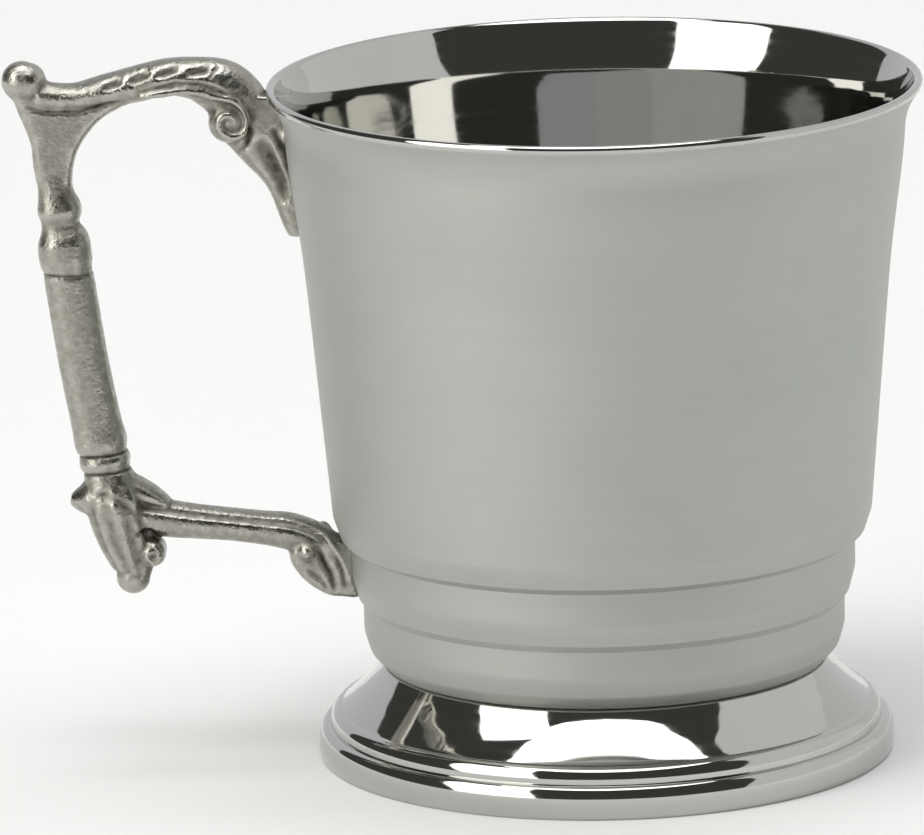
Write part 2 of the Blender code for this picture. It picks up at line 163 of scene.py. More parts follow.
# Studio; directions are (azimuth, elevation) in degrees, and azimuth 0 is towards the camera
CARD_DISTANCE = 3.0
CARD_HEIGHT = 45 * MM
FLOOR_REACH = 3.0
FLOOR_SIDES = 60
FLOOR_COLOUR = (0.93, 0.93, 0.93)
TOP_SIDES = 24
TOP_EDGE = 68
TOP_EDGE_FRONT = 58.5
KEY_RADIANCE = 2.75
TOP_RADIANCE = 3.15
PANEL_RADIANCE = 0.8
BACK_RADIANCE = 0.7
ROOM_COLOUR = (0.06, 0.06, 0.055)
BACKDROP_COLOUR = (0.95, 0.95, 0.95)

# Camera
CAMERA_DISTANCE = 1.4542
CAMERA_TARGET_HEIGHT = 42.9 * MM
CAMERA_ELEVATION = math.radians(13.193)
CAMERA_YAW = math.radians(-0.700)
CAMERA_PITCH = math.radians(0.039)
CAMERA_ROLL = math.radians(-1.144)
CAMERA_LENS = 441.66
SENSOR = 36.0


def rounded(corners):
    """The points of a profile of (r, z, fillet) corners, each fillet as an arc limited by its sides."""
    points = []
    for index, (r, z, fillet) in enumerate(corners):
        corner = Vector((r, z))
        if fillet == 0 or index in (0, len(corners) - 1):
            points.append(corner)
            continue
        back = Vector(corners[index - 1][:2]) - corner
        ahead = Vector(corners[index + 1][:2]) - corner
        half = back.angle(ahead) / 2
        run = min(fillet / math.tan(half), back.length * 0.45, ahead.length * 0.45)
        start = corner + back.normalized() * run
        radius = run * math.tan(half)
        centre = corner + (back.normalized() + ahead.normalized()).normalized() * radius / math.sin(half)
        turn = (start - centre).angle_signed(corner + ahead.normalized() * run - centre)
        count = max(2, round(abs(turn) / ARC_STEP))
        for step in range(count + 1):
            points.append(centre + Matrix.Rotation(-turn * step / count, 2) @ (start - centre))
    return points


def offset(corners, distance):
    """The same run of corners, moved to its inner side by distance, with fillets to match."""
    moved = []
    for index, (r, z, fillet) in enumerate(corners):
        here = Vector((r, z))
        back = Vector(corners[max(index - 1, 0)][:2])
        ahead = Vector(corners[min(index + 1, len(corners) - 1)][:2])
        arrive = (here - back if index else ahead - here).normalized()
        leave = (ahead - here if index < len(corners) - 1 else here - back).normalized()
        inward = (Vector((arrive.y, -arrive.x)) + Vector((leave.y, -leave.x))).normalized()
        reach = distance / inward.dot(Vector((leave.y, -leave.x)))
        turn = arrive.x * leave.y - arrive.y * leave.x
        radius = fillet + math.copysign(distance, turn) if fillet else 0
        moved.append((*(here + inward * reach), max(radius, CREASE_FILLET if fillet else 0)))
    return moved


def swell(height, low, top, peak):
    """A soft swell from 0 at the low height to 1 at the peak's share of the way and to 0 at the top."""
    share = min(max((height - low) / (top - low), 0.0), 1.0)
    fall = SWELL_RISE * (1 - peak) / peak
    return share**SWELL_RISE * (1 - share)**fall / (peak**SWELL_RISE * (1 - peak)**fall)


def flare(height):
    """The radius of the wall's outer face at this height: its taper, which eases out into the flare."""
    share = (height - WALL_LOW) / WALL_HEIGHT
    straight = WALL_LOW_RADIUS + (WALL_TOP_RADIUS - WALL_LOW_RADIUS) * share
    peak = (EASE_PEAK - EASE_START) / (FLARE_TOP - EASE_START)
    straight += EASE * swell(height, EASE_START, FLARE_TOP, peak)
    if height <= WALL_TOP:
        return straight
    rim_share = (height - WALL_TOP) / FLARE_HEIGHT
    taper = (WALL_TOP_RADIUS - WALL_LOW_RADIUS) / WALL_HEIGHT * FLARE_HEIGHT
    return straight + (RIM_RADIUS - WALL_TOP_RADIUS - taper) * rim_share**FLARE_POWER


def cup_outside():
    """The cup's outer profile from the lip down to the edge of its bottom, as (r, z, fillet) corners."""
    corners = []
    for step in range(FLARE_STEPS + 1):
        height = FLARE_TOP - (FLARE_TOP - EASE_START) * step / FLARE_STEPS
        corners.append((flare(height), height, 0))
    corners.append((WALL_LOW_RADIUS, WALL_LOW, SHOULDER_FILLET))
    corners.append((SHOULDER_RADIUS, SHOULDER_LOW, CREASE_FILLET))
    bands = ((UPPER_BAND_RADIUS, UPPER_BAND_TOP, UPPER_BAND_HEIGHT),
             (LOWER_BAND_RADIUS, LOWER_BAND_TOP, LOWER_BAND_HEIGHT))
    for radius, top, height in bands:
        corners.append((radius, top, CREASE_FILLET))
        corners.append((radius, top - height * BAND_STRAIGHT, BAND_FILLET))
        corners.append((radius - BAND_DRAW, top - height, CREASE_FILLET))
    corners[-1] = (LOWER_BAND_RADIUS - BAND_DRAW, FLOOR + TUCK_HEIGHT, TUCK_FILLET)
    corners.append((NECK_RADIUS, FLOOR, 0))
    return corners


def revolved(name, runs, steps=STEPS):
    """A closed surface turned about the cup's axis from runs of (points, material index) end to end."""
    points = [point for run, _ in runs for point in run]
    slots = [slot for run, slot in runs for _ in run]
    mesh = bmesh.new()
    axis_ends = [index for index in (0, len(points) - 1) if points[index].x == 0]
    columns = []
    poles = {index: mesh.verts.new((AXIS, 0, points[index].y)) for index in axis_ends}
    for step in range(steps):
        angle = 2 * math.pi * step / steps
        column = [poles[i] if i in poles
                  else mesh.verts.new((AXIS + p.x * math.cos(angle), p.x * math.sin(angle), p.y))
                  for i, p in enumerate(points)]
        columns.append(column)
    count = len(points)
    last = count - 1 if axis_ends else count
    for here, after in zip(columns, columns[1:] + columns[:1]):
        for i in range(last):
            j = (i + 1) % count
            corners = [here[i], after[i], after[j], here[j]]
            face = mesh.faces.new([v for k, v in enumerate(corners) if v not in corners[:k]])
            face.material_index = slots[i]
            face.smooth = True
    bmesh.ops.recalc_face_normals(mesh, faces=mesh.faces)
    data = bpy.data.meshes.new(name)
    mesh.to_mesh(data)
    mesh.free()
    obj = bpy.data.objects.new(name, data)
    bpy.context.scene.collection.objects.link(obj)
    return obj


def make_cup(satin, polished):
    """The hollow cup: satin outside, polished inside and over the rounded lip."""
    outside = cup_outside()
    inside = offset(outside, WALL)
    top = inside[0][1]
    inside = [(r + INSIDE_EASE * swell(z, INSIDE_EASE_START, top, INSIDE_PEAK), z, fillet)
              for r, z, fillet in inside]
    floor = FLOOR + WALL
    inner = [corner for corner in inside if corner[1] > floor + FLOOR_FILLET]
    inner.append((inner[-1][0] - WALL, floor, FLOOR_FILLET))
    inner.append((0, floor, 0))
    lip = Vector(outside[0][:2])
    lip_inside = Vector(inside[0][:2])
    out_of_lip = (lip - Vector(outside[1][:2])).normalized() * WALL / 2
    middle = (lip + lip_inside) / 2
    crown = [middle + (out_of_lip * math.sin(angle) + (lip_inside - middle) * math.cos(angle)) * CROWN
             for angle in (ARC_STEP * step for step in range(1, round(math.pi / ARC_STEP)))]
    runs = [(rounded(inner)[::-1] + crown, 1), (rounded(outside) + [Vector((0, FLOOR))], 0)]
    cup = revolved("cup_spun", runs)
    cup.data.materials.append(satin)
    cup.data.materials.append(polished)
    return cup


def make_foot(polished):
    """The hollow foot: a seat ring under the cup, a hollow cone, a small roll and the roll it stands on."""
    plain = [(NECK_RADIUS - SEAT_WIDTH, FOOT_HEIGHT, 0), (NECK_RADIUS, FOOT_HEIGHT, 0),
             (NECK_RADIUS + NECK_COVE, FOOT_HEIGHT - NECK_COVE, NECK_COVE),
             (CONE_RADIUS, CONE_LOW, CREASE_FILLET), (FOOT_RADIUS, EDGE_HEIGHT, EDGE_FILLET),
             (FOOT_RADIUS, FOOT_TUCK, CREASE_FILLET), (FOOT_RADIUS - FOOT_TUCK, 0, 0)]
    inside = offset(plain, FOOT_WALL)
    inside[-1] = (FOOT_RADIUS - FOOT_TUCK - FOOT_WALL, 0, 0)
    inside[0] = (NECK_RADIUS - SEAT_WIDTH, FOOT_HEIGHT - FOOT_WALL, 0)
    outside = [Vector(plain[0][:2])]
    for run in FOOT_RUNS:
        outside += [Vector(point) * MM for point in smooth_rows(run, FOOT_STEPS)[:-1]]
    outside.append(Vector(FOOT_RUNS[-1][-1]) * MM)
    foot = revolved("foot_spun", [(outside + rounded(inside)[::-1], 0)])
    foot.data.materials.append(polished)
    return foot


def spot(out, up):
    """A point of the handle's plane, out from the line between its seats and up from the lower one."""
    height = HANDLE_LOW + up * (HANDLE_TOP - HANDLE_LOW)
    line = UPPER_BAND_RADIUS + up * (WALL_TOP_RADIUS - UPPER_BAND_RADIUS)
    return Vector((AXIS - (line + out * HANDLE_REACH), 0, height))


def curve_value(before, start, end, after, share):
    """A smooth curve through start and end, led by the points before and after them."""
    square = share * share
    cube = square * share
    return ((-cube + 2 * square - share) * before + (3 * cube - 5 * square + 2) * start
            + (-3 * cube + 4 * square + share) * end + (cube - square) * after) / 2


def smooth_rows(rows, steps):
    """The rows of values with more of them on a smooth curve, this many steps to each two."""
    run = []
    for index in range(len(rows) - 1):
        four = [rows[max(index - 1, 0)], rows[index], rows[index + 1], rows[min(index + 2, len(rows) - 1)]]
        run += [[curve_value(*values, step / steps) for values in zip(*four)] for step in range(steps)]
    run.append(list(rows[-1]))
    return run


def smooth_run(stations):
    """The handle's stations as places and sizes, with more of them spaced evenly on a smooth curve."""
    rows = [(*spot(row[0], row[1]), row[2] * GRIP_RADIUS, row[3] * GRIP_RADIUS) for row in stations]
    run = []
    for index in range(len(rows) - 1):
        before = rows[max(index - 1, 0)]
        after = rows[min(index + 2, len(rows) - 1)]
        length = (Vector(rows[index + 1][:3]) - Vector(rows[index][:3])).length
        between = max(2, round(length / RING_SPACING))
        for step in range(between):
            run.append([curve_value(*four, step / between)
                        for four in zip(before, rows[index], rows[index + 1], after)])
    run.append(list(rows[-1]))
    return run


def flat_relief(share, angle):
    """No carving."""
    return 0.0


def stroke(shape, stations, boxy=1.0, relief=flat_relief):
    """Adds a bar along smooth stations of (out, up, half thickness, half depth), closed at both ends."""
    run = smooth_run(stations)
    rings = []
    for index, (x, y, z, thick, deep) in enumerate(run):
        ahead = Vector(run[min(index + 1, len(run) - 1)][:3])
        back = Vector(run[max(index - 1, 0)][:3])
        normal = Vector((0, 1, 0)).cross((ahead - back).normalized())
        ring = []
        for side in range(SIDES):
            angle = 2 * math.pi * side / SIDES
            cosine = math.copysign(abs(math.cos(angle)) ** boxy, math.cos(angle))
            sine = math.copysign(abs(math.sin(angle)) ** boxy, math.sin(angle))
            carved = relief(index / (len(run) - 1), angle)
            place = normal * (thick + carved) * cosine + Vector((0, (deep + carved) * sine, 0))
            ring.append(shape.verts.new(Vector((x, y, z)) + place))
        rings.append(ring)
    close_rings(shape, rings)


def ball(shape, out, up, radius, deep):
    """Adds a round knob in the handle's plane; radius and half depth are shares of the grip."""
    place = Matrix.Translation(spot(out, up)) @ Matrix.Diagonal((1, deep / radius, 1, 1))
    bmesh.ops.create_uvsphere(shape, u_segments=BALL_SEGMENTS, v_segments=BALL_RINGS,
                              radius=radius * GRIP_RADIUS, matrix=place)


def outline_points(corners):
    """A closed smooth curve through these (out, up) corners, as points in the handle's plane."""
    points = [spot(*corner) for corner in corners]
    flat = [(point.x, point.z) for point in points]
    count = len(flat)
    curve = []
    for index in range(count):
        four = [flat[(index + shift) % count] for shift in (-1, 0, 1, 2)]
        for step in range(OUTLINE_STEPS):
            curve.append(Vector([curve_value(*values, step / OUTLINE_STEPS) for values in zip(*four)]))
    return curve


def inset(curve, distance):
    """A closed curve of the plane moved to its inner side."""
    area = sum(a.x * b.y - b.x * a.y for a, b in zip(curve, curve[1:] + curve[:1]))
    side = math.copysign(distance, area)
    moved = []
    for index, point in enumerate(curve):
        along = (curve[(index + 1) % len(curve)] - curve[index - 1]).normalized()
        moved.append(point + Vector((-along.y, along.x)) * side)
    return moved


def panel(shape, corners, deep, edge):
    """Adds a flat plate with this outline of (out, up) corners, its edges rounded over on both faces."""
    curve = outline_points(corners)
    deep *= GRIP_RADIUS
    edge *= GRIP_RADIUS
    turns = [math.pi / 2 * step / EDGE_STEPS for step in range(EDGE_STEPS + 1)]
    levels = [(-deep + edge * (1 - math.sin(turn)), edge * (1 - math.cos(turn)))
              for turn in reversed(turns)]
    levels += [(-level, back) for level, back in reversed(levels)]
    rings = [[shape.verts.new((point.x, level, point.y)) for point in inset(curve, back)]
             for level, back in levels]
    close_rings(shape, rings)


def close_rings(shape, rings):
    """Joins rings of vertices into a skin and closes both ends."""
    for low, high in zip(rings, rings[1:]):
        for side in range(len(low)):
            after = (side + 1) % len(low)
            shape.faces.new((low[side], high[side], high[after], low[after]))
    shape.faces.new(rings[0])
    shape.faces.new(rings[-1][::-1])


def leaf(shape, rows):
    """Adds the leaf that spreads from a thin spine to its flange on the wall, with hollow sides.

    The rows are (up, spine out, half width of the spine, half width at the wall)."""
    rings = []
    for up, spine, narrow, wide in smooth_rows(rows, LEAF_STEPS):
        tip = spot(spine, up)
        root = spot(LEAF_ROOT, up)
        reach = root.x - tip.x
        half = []
        for step in range(LEAF_SIDES + 1):
            share = (step / LEAF_SIDES) ** LEAF_NOSE
            nose = math.sqrt(min(1.0, share * reach / (narrow * GRIP_RADIUS)))
            flange = min(1.0, max(0.0, (share * reach - (reach - FLANGE)) / FLANGE * FLANGE_STEEPNESS))
            width = narrow + (wide - narrow) * max(share**LEAF_HOLLOW, flange)
            half.append((tip.x + share * reach, width * nose * GRIP_RADIUS))
        ring = [shape.verts.new((x, y, tip.z)) for x, y in half]
        ring += [shape.verts.new((x, -y, tip.z)) for x, y in reversed(half[1:])]
        rings.append(ring)
    close_rings(shape, rings)


def roll(shape, out, up, radius, deep):
    """Adds a scroll's roll: a short round bar across the handle with rounded ends."""
    turns = [2 * math.pi * step / ROLL_SIDES for step in range(ROLL_SIDES)]
    centre = spot(out, up)
    rings = []
    for share in [math.sin(math.pi / 2 * step / ROLL_RINGS) for step in range(-ROLL_RINGS, ROLL_RINGS + 1)]:
        size = radius * GRIP_RADIUS * (1 - abs(share) ** ROLL_SQUARENESS) ** (1 / ROLL_SQUARENESS)
        size = max(size, ROLL_TIP)
        side = share * deep * GRIP_RADIUS
        rings.append([shape.verts.new(centre + Vector((size * math.cos(turn), side, size * math.sin(turn))))
                      for turn in turns])
    close_rings(shape, rings)


def bead(shape, points, deep, radius):
    """Adds a thin raised bead along (out, up) points on each face; its ends run out to nothing."""
    stations = [(out, up, radius, radius) for out, up in points]
    run = smooth_run(stations)
    turns = [2 * math.pi * side / BEAD_SIDES for side in range(BEAD_SIDES)]
    for face in (-1, 1):
        rings = []
        for index, (x, y, z, thick, _) in enumerate(run):
            ahead = Vector(run[min(index + 1, len(run) - 1)][:3])
            back = Vector(run[max(index - 1, 0)][:3])
            normal = Vector((0, 1, 0)).cross((ahead - back).normalized())
            size = thick * min(1.0, 0.3 + 0.12 * min(index, len(run) - 1 - index))
            centre = Vector((x, face * deep * GRIP_RADIUS, z))
            rings.append([shape.verts.new(centre + normal * size * math.cos(turn)
                                          + Vector((0, size * math.sin(turn), 0))) for turn in turns])
        close_rings(shape, rings)


def scroll_path(out, up, start, end, angle, turns):
    """(out, up) points that wind in about a centre, from the start radius, in grip radii, at this angle."""
    count = round(abs(turns) * SCROLL_STEPS)
    points = []
    for step in range(count + 1):
        share = step / count
        radius = (start + (end - start) * share**SCROLL_OPENING) * GRIP_RADIUS
        turn = math.radians(angle) + 2 * math.pi * turns * share
        points.append((out + radius * math.cos(turn) / HANDLE_REACH,
                       up + radius * math.sin(turn) / (HANDLE_TOP - HANDLE_LOW)))
    return points


def handle_stock():
    """The casting's bars, rolls and knobs in one mesh, still passing through each other."""
    arm = [(0.886, 1.056, 0.58, 0.70), (0.762, 1.051, 0.53, 0.79), (0.639, 1.065, 0.61, 0.88),
           (0.534, 1.076, 0.70, 0.91), (0.419, 1.091, 0.71, 0.97), (0.317, 1.087, 0.83, 1.00),
           (0.224, 1.071, 1.00, 1.00), (0.163, 1.039, 0.97, 0.92), (0.131, 1.000, 0.82, 0.75),
           (0.117, 0.958, 0.67, 0.62)]
    yoke = [(0.960, 1.070), (0.966, 1.035), (0.950, 0.997), (0.932, 0.947), (0.934, 0.890), (0.915, 0.840),
            (0.820, 0.840), (0.797, 0.890), (0.761, 0.942), (0.682, 0.997), (0.599, 1.027), (0.540, 1.043),
            (0.530, 1.070), (0.600, 1.080), (0.760, 1.060)]
    grip = [(0.862, 0.925, 0.45, 0.45), (0.866, 0.880, 0.64, 0.62), (0.869, 0.839, 0.70, 0.72),
            (0.866, 0.812, 0.84, 0.86), (0.865, 0.796, 0.86, 0.88), (0.869, 0.769, 0.73, 0.73),
            (0.866, 0.738, 0.98, 1.00), (0.867, 0.714, 1.03, 1.03), (0.867, 0.686, 1.02, 1.02),
            (0.867, 0.665, 0.94, 0.94), (0.865, 0.640, 0.97, 0.97), (0.857, 0.466, 0.97, 0.97),
            (0.843, 0.332, 0.98, 0.98), (0.836, 0.281, 1.03, 1.03), (0.834, 0.260, 0.94, 0.94),
            (0.831, 0.240, 1.02, 1.02), (0.829, 0.220, 0.92, 0.92), (0.822, 0.186, 1.05, 1.05)]
    bud = [(0.815, 0.195, 1.03, 1.03), (0.811, 0.155, 1.24, 1.24), (0.806, 0.116, 1.24, 1.24),
           (0.798, 0.072, 1.14, 1.11), (0.788, 0.031, 0.98, 0.92), (0.780, -0.002, 0.78, 0.70),
           (0.786, -0.027, 0.55, 0.56)]
    wing = [(0.880, 0.160, 0.95, 0.95), (0.922, 0.155, 0.62, 0.75), (0.955, 0.154, 0.40, 0.45),
            (0.974, 0.155, 0.20, 0.22)]
    arm_low = [(0.777, 0.123, 0.67, 0.79), (0.640, 0.108, 0.73, 0.85), (0.543, 0.100, 0.68, 0.83),
               (0.419, 0.092, 0.64, 0.82), (0.295, 0.082, 0.66, 0.85), (0.220, 0.075, 0.72, 0.89),
               (0.162, 0.065, 0.70, 0.92), (0.120, 0.052, 0.70, 0.93), (0.070, 0.030, 0.70, 0.90)]
    scroll = [(0.165, 0.066), (0.203, 0.050), (0.217, 0.024), (0.206, -0.001), (0.177, -0.028),
              (0.135, -0.051), (0.091, -0.065), (0.053, -0.068), (-0.020, -0.066), (-0.030, 0.000),
              (-0.010, 0.050), (0.080, 0.064)]
    calyx = [(0.790, 0.205, 0.30, 0.76), (0.735, 0.178, 0.48, 0.82), (0.680, 0.160, 0.40, 0.79),
             (0.627, 0.143, 0.21, 0.61)]
    rows = [(1.050, 0.360, 0.72, 0.76), (1.018, 0.298, 0.80, 0.66), (0.993, 0.280, 0.80, 0.66),
            (0.969, 0.268, 0.78, 0.85), (0.950, 0.249, 0.70, 1.15), (0.931, 0.223, 0.60, 1.32),
            (0.903, 0.190, 0.50, 1.42), (0.856, 0.127, 0.40, 1.36), (0.820, 0.102, 0.36, 1.16),
            (0.782, 0.087, 0.33, 0.92), (0.747, 0.072, 0.30, 0.64), (0.733, 0.060, 0.28, 0.50)]
    stock = bmesh.new()
    panel(stock, yoke, 0.60, 0.34)
    stroke(stock, grip, boxy=0.8)
    stroke(stock, arm)
    ball(stock, *THUMB, THUMB[2])
    ball(stock, 0.914, 1.087, 0.74, 0.80)
    leaf(stock, rows)
    roll(stock, 0.219, 0.992, 0.77, 0.98)
    bead(stock, [(0.52, 1.058), (0.44, 1.064), (0.36, 1.069), (0.30, 1.066)]
         + scroll_path(0.211, 0.997, 1.12, 0.16, 68, 1.40), 0.96, 0.15)
    ball(stock, 0.213, 0.997, 0.20, 1.06)
    stroke(stock, bud, relief=flute_relief)
    stroke(stock, wing)
    ball(stock, 0.789, -0.022, 0.67, 0.67)
    roll(stock, 0.707, 0.036, 0.55, 0.80)
    bead(stock, scroll_path(0.707, 0.036, 0.46, 0.10, 100, 1.25), 0.80, 0.12)
    stroke(stock, calyx)
    stroke(stock, arm_low, relief=bead_relief)
    panel(stock, scroll, 0.95, 0.40)
    ball(stock, 0.150, 0.038, 0.55, 1.22)
    bead(stock, [(0.120, 0.078), (0.084, 0.078), (0.062, 0.058), (0.030, 0.020), (0.014, -0.010),
                 (0.006, -0.050)], 0.93, 0.11)
    return stock


def flute_relief(share, angle):
    """Flutes round the bud that run together towards its ball."""
    return -FLUTE_DEPTH * (0.5 + 0.5 * math.cos(BUD_FLUTES * angle)) * math.sin(math.pi * share) ** 0.5


def bead_relief(share, angle):
    """One long groove on each side of the lower arm, under the bead along its top."""
    side = abs(abs(math.degrees(math.remainder(angle - math.pi, 2 * math.pi))) - BEAD_ANGLE)
    return -GROOVE_DEPTH * max(0.0, 1 - side / BEAD_WIDTH) * math.sin(math.pi * share) ** 0.3


def carved_lines():
    """The cuts over the casting, as (half width, depth, points of (out, up)) in millimetres and shares."""
    cuts = [(0.46, 0.44, [(low_out, low_up), (high_out, high_up)])
            for low_out, low_up, high_out, high_up in GADROONS]
    cuts.append((0.20, 0.20, [(0.470, 1.076), (0.383, 1.088), (0.300, 1.086), (0.240, 1.074),
                              (0.190, 1.052)]))
    cuts.append((0.24, 0.26, [(0.262, 1.094), (0.246, 1.108), (0.222, 1.120)]))
    cuts.append((0.20, 0.14, [(0.212, 1.078), (0.182, 1.096)]))
    cuts.append((0.20, 0.14, [(0.170, 1.060), (0.140, 1.074)]))
    cuts.append((0.22, 0.24, [(0.930, 1.047), (0.906, 1.033), (0.868, 1.026), (0.810, 1.024),
                              (0.740, 1.024), (0.684, 1.033), (0.629, 1.042), (0.570, 1.050)]))
    for up in (0.260, 0.220):
        cuts.append((0.20, 0.26, [(0.96, up - 0.008), (0.83, up), (0.70, up + 0.008)]))
    cuts.append((0.20, 0.20, [(0.99, 0.664), (0.75, 0.664)]))
    cuts.append((0.50, 0.22, [(0.870, 0.180), (0.800, 0.165), (0.745, 0.135), (0.725, 0.095)]))
    cuts.append((0.30, 0.30, [(0.760, 0.078), (0.735, 0.088), (0.700, 0.088), (0.672, 0.070)]))
    cuts.append((0.45, 0.40, [(0.108, 0.055), (0.098, 0.020), (0.078, -0.012), (0.066, -0.055)]))
    cuts.append((0.40, 0.26, [(0.165, 0.000), (0.120, -0.022), (0.092, -0.052)]))
    cuts.append((0.25, 0.22, [(0.052, 0.030), (0.036, -0.005), (0.030, -0.045)]))
    cuts.append((0.55, 0.75, [(0.062, 0.985), (0.045, 0.940), (0.038, 0.900), (0.026, 0.850),
                              (0.020, 0.800)]))
    cuts.append((1.00, 0.60, [(0.120, 0.955), (0.085, 0.905), (0.062, 0.860), (0.048, 0.810)]))
    cuts.append((0.35, 0.45, [(0.160, 1.050), (0.138, 1.010), (0.140, 0.970), (0.165, 0.940),
                              (0.200, 0.925)]))
    return cuts


def carve(places, normals):
    """Pushes the skin in along its cuts and tells how deep each of its points then lies."""
    depth = np.zeros(len(places))
    flat = places[:, [0, 2]]
    for width, deep, points in carved_lines():
        line = np.array([spot(*point).xz for point in points])
        steps = np.linalg.norm(np.diff(line, axis=0), axis=1)
        passed = np.concatenate([[0], np.cumsum(steps)]) / steps.sum()
        nearest = np.full(len(places), np.inf)
        along = np.zeros(len(places))
        for index, step in enumerate(np.diff(line, axis=0)):
            share = np.clip((flat - line[index]) @ step / (step @ step), 0, 1)
            away = np.linalg.norm(flat - line[index] - share[:, None] * step, axis=1)
            here = passed[index] + share * (passed[index + 1] - passed[index])
            along = np.where(away < nearest, here, along)
            nearest = np.minimum(nearest, away)
        taper = np.minimum(1, CUT_TAPER * along * (1 - along)) ** 0.7
        depth = np.maximum(depth, deep * MM * taper * np.exp(-(nearest / (width * MM)) ** 2))
    places -= normals * depth[:, None]
    return depth


def hollowness(data, places, normals):
    """How many millimetres each point of a skin lies below its neighbours, over about a millimetre."""
    edges = np.empty(len(data.edges) * 2, dtype=np.int64)
    data.edges.foreach_get("vertices", edges)
    low, high = edges.reshape(-1, 2).T
    count = np.bincount(edges, minlength=len(places))[:, None]
    spread = places.copy()
    for _ in range(HOLLOW_SPREAD):
        total = np.zeros_like(spread)
        np.add.at(total, low, spread[high])
        np.add.at(total, high, spread[low])
        spread = total / count
    return np.einsum("ij,ij->i", spread - places, normals) / MM


def radius_at(profile, heights):
    """The cup's outer radius at these heights, from its profile's points."""
    points = sorted((point.y, point.x) for point in profile)
    return np.interp(heights, [z for z, _ in points], [r for _, r in points])


def make_handle(material):
    """The casting: its stock joined into one skin with soft fillets, seated on the cup's wall."""
    stock = handle_stock()
    rough = bpy.data.meshes.new("handle_stock")
    stock.to_mesh(rough)
    stock.free()
    handle = bpy.data.objects.new("handle_cast", rough)
    bpy.context.scene.collection.objects.link(handle)
    skin = handle.modifiers.new("skin", "REMESH")
    skin.mode = "VOXEL"
    skin.voxel_size = VOXEL
    soft = handle.modifiers.new("soft", "SMOOTH")
    soft.factor = 0.5
    soft.iterations = SOFTENING
    depsgraph = bpy.context.evaluated_depsgraph_get()
    data = bpy.data.meshes.new_from_object(handle.evaluated_get(depsgraph))
    handle.modifiers.clear()
    handle.data = data
    places = np.empty(len(data.vertices) * 3)
    data.vertices.foreach_get("co", places)
    places = places.reshape(-1, 3)
    normals = np.empty(len(data.vertices) * 3)
    data.vertices.foreach_get("normal", normals)
    normals = normals.reshape(-1, 3)
    depth = carve(places, normals)
    # How hollow each point lies, with each cut's depth added through CUT_SHADE; the casting's material
    # paints antique patina and also shade into these hollows and cuts
    rise = hollowness(data, places, normals) + depth / MM * CUT_SHADE
    across = places[:, :2] - (AXIS, 0)
    distance = np.hypot(across[:, 0], across[:, 1])
    seat = radius_at(rounded(cup_outside()), places[:, 2]) - SOLDER_SINK
    inside = (distance < seat) & (places[:, 2] < FLARE_TOP)
    places[inside, :2] = (AXIS, 0) + across[inside] * (seat / distance)[inside, None]
    data.vertices.foreach_set("co", places.ravel())
    data.shade_smooth()
    data.materials.append(material)
    # The recess values that paint patina and shade into the hollows, brighten the rubbed ridges and set the
    # roughness
    recess = data.attributes.new("recess", "FLOAT", "POINT")
    recess.data.foreach_set("value", np.clip(0.5 + rise * RECESS_GAIN, 0, 1))
    return handle


def finish(name, colour, roughness):
    """A metal's material, its node tree and its shader."""
    material = bpy.data.materials.new(name)
    material.use_nodes = True
    tree = material.node_tree
    shader = tree.nodes["Principled BSDF"]
    shader.inputs["Base Color"].default_value = (*colour, 1.0)
    shader.inputs["Metallic"].default_value = 1.0
    shader.inputs["Roughness"].default_value = roughness
    return material, tree, shader


def noise(tree, scale, stretch=(1, 1, 1), detail=3.0):
    """Noise in the object's own space, with about scale features to the metre, stretched along an axis."""
    place = tree.nodes.new("ShaderNodeTexCoord")
    mapping = tree.nodes.new("ShaderNodeMapping")
    mapping.inputs["Scale"].default_value = stretch
    texture = tree.nodes.new("ShaderNodeTexNoise")
    texture.inputs["Scale"].default_value = scale
    texture.inputs["Detail"].default_value = detail
    tree.links.new(place.outputs["Object"], mapping.inputs["Vector"])
    tree.links.new(mapping.outputs["Vector"], texture.inputs["Vector"])
    return texture.outputs["Fac"]


def ranged(tree, value, low, high, start, end):
    """The value's range from low to high, taken to the range from start to end."""
    node = tree.nodes.new("ShaderNodeMapRange")
    node.inputs["From Min"].default_value = low
    node.inputs["From Max"].default_value = high
    node.inputs["To Min"].default_value = start
    node.inputs["To Max"].default_value = end
    tree.links.new(value, node.inputs["Value"])
    return node.outputs["Result"]


def blended(tree, share, first, second):
    """A colour between two, by the share."""
    mix = tree.nodes.new("ShaderNodeMix")
    mix.data_type = "RGBA"
    mix.inputs["A"].default_value = (*first, 1)
    mix.inputs["B"].default_value = (*second, 1)
    tree.links.new(share, mix.inputs["Factor"])
    return mix.outputs["Result"]


def bumped(tree, shader, height, distance):
    """Gives the shader a bump of this height in metres."""
    bump = tree.nodes.new("ShaderNodeBump")
    bump.inputs["Distance"].default_value = distance
    tree.links.new(height, bump.inputs["Height"])
    tree.links.new(bump.outputs["Normal"], shader.inputs["Normal"])


def make_satin():
    """Satin pewter: an even, fine-grained blasted face with faint rings from the lathe."""
    material, tree, shader = finish("satin_pewter", SATIN_COLOUR, 0.58)
    cloud = noise(tree, 60, detail=2.0)
    tree.links.new(blended(tree, ranged(tree, cloud, 0.3, 0.7, 0, 1), SATIN_COLOUR, SATIN_SHADE),
                   shader.inputs["Base Color"])
    rings = noise(tree, 12, stretch=(1, 1, 110), detail=4.0)
    tree.links.new(ranged(tree, rings, 0.3, 0.7, 0.57, 0.60), shader.inputs["Roughness"])
    bumped(tree, shader, noise(tree, 4500, detail=2.0), 0.004 * MM)
    return material


